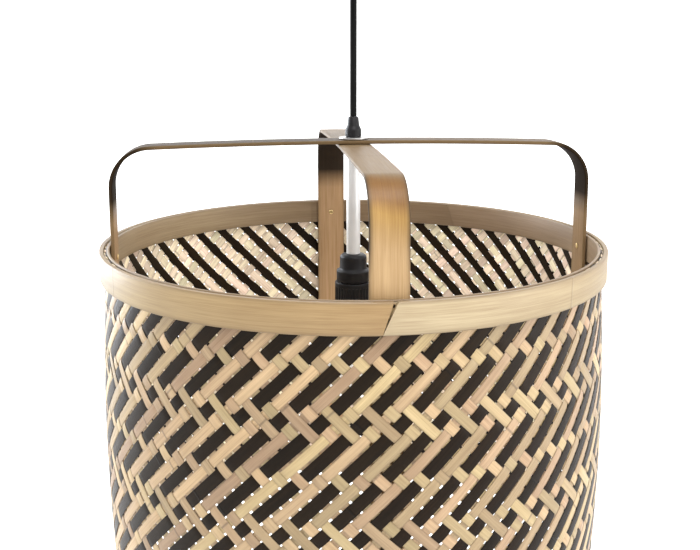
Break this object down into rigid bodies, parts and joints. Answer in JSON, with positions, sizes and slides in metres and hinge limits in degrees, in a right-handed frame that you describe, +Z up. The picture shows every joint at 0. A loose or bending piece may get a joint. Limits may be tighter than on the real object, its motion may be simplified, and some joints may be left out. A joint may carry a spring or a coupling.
{
  "type": "pendant lamp",
  "caption": "Woven bamboo drum pendant lamp hung by a short cord from a ceiling cup, with crossed bamboo straps that carry a lampholder and bulb.",
  "frame": {"origin": "centre of the ceiling plate's flat top face, the plane that meets the ceiling", "axes": "+Z up along the cord and the shade's axis; -Y is the front, towards the viewer, and +X its right; the strap pair is turned 6.6 degrees about Z"},
  "size_m": [0.451, 0.451, 0.6146],
  "materials": {
    "bamboo": "natural bamboo strip, satin",
    "bamboo_weave": "natural and dark-stained bamboo splints, satin",
    "black_plastic": "satin",
    "black_metal": "matte powder coat",
    "black_cord": "matte",
    "white_plastic": "satin",
    "opal_glass": "opal, satin",
    "zinc_steel": "zinc plated",
    "nickel": "satin nickel",
    "brass": "satin"
  },
  "bodies": {
    "ceiling": {"ceiling_plate": "zinc_steel", "ceiling_cup": "black_metal", "cup_screw_left": "zinc_steel", "cup_screw_right": "zinc_steel", "terminal_block": "white_plastic", "terminal_screw_live": "zinc_steel", "terminal_screw_neutral": "zinc_steel", "cup_lead": "black_cord", "swivel_seat": "black_plastic"},
    "swivel": {"swivel_ball": "brass"},
    "hanger": {"cord_sleeve": "brass", "supply_cord": "black_cord"},
    "lamp": {"cord_grip": "black_plastic", "grip_screw": "zinc_steel", "top_washer": "nickel", "side_strap": "bamboo", "cross_strap": "bamboo", "lower_washer": "nickel", "lock_nut": "zinc_steel", "threaded_tube": "zinc_steel", "tube_sleeve": "nickel", "lead_live": "white_plastic", "lead_neutral": "white_plastic", "holder_cap": "black_plastic", "holder_nut": "zinc_steel", "holder_body": "black_plastic", "holder_insulator": "white_plastic", "screw_shell": "brass", "centre_contact": "brass", "top_hoop_outer": "bamboo", "top_hoop_inner": "bamboo", "woven_wall": "bamboo_weave", "bottom_hoop_outer": "bamboo", "bottom_hoop_inner": "bamboo", "strap_pin_top_right": "brass", "strap_pin_top_back": "brass", "strap_pin_top_left": "brass", "strap_pin_top_front": "brass", "strap_pin_bottom_right": "brass", "strap_pin_bottom_back": "brass", "strap_pin_bottom_left": "brass", "strap_pin_bottom_front": "brass"},
    "bulb_slide": {"bulb_contact": "brass"},
    "bulb": {"bulb_insulator": "black_plastic", "bulb_screw_cap": "nickel", "bulb_glass": "opal_glass"}
  },
  "joints": [
    {"name": "swing_x", "type": "hinge", "parent": "ceiling", "child": "swivel", "pos_m": [0, 0, -0.05], "axis": [1, 0, 0], "range_deg": [-20, 20]},
    {"name": "swing_y", "type": "hinge", "parent": "swivel", "child": "hanger", "pos_m": [0, 0, -0.05], "axis": [0, 1, 0], "range_deg": [-20, 20]},
    {"name": "lamp_turn", "type": "hinge", "parent": "hanger", "child": "lamp", "pos_m": [0, 0, -0.1839], "axis": [0, 0, 1], "range_deg": [-90, 90]},
    {"name": "bulb_out", "type": "slide", "parent": "lamp", "child": "bulb_slide", "axis": [0, 0, -1], "range_m": [0, 0.01088]},
    {"name": "bulb_turn", "type": "hinge", "parent": "bulb_slide", "child": "bulb", "pos_m": [0, 0, -0.3423], "axis": [0, 0, -1], "range_deg": [0, 1080]}
  ],
  "couplings": [
    {"joint": "bulb_turn", "follows": "bulb_out", "rad_per_m": 1730.9}
  ]
}
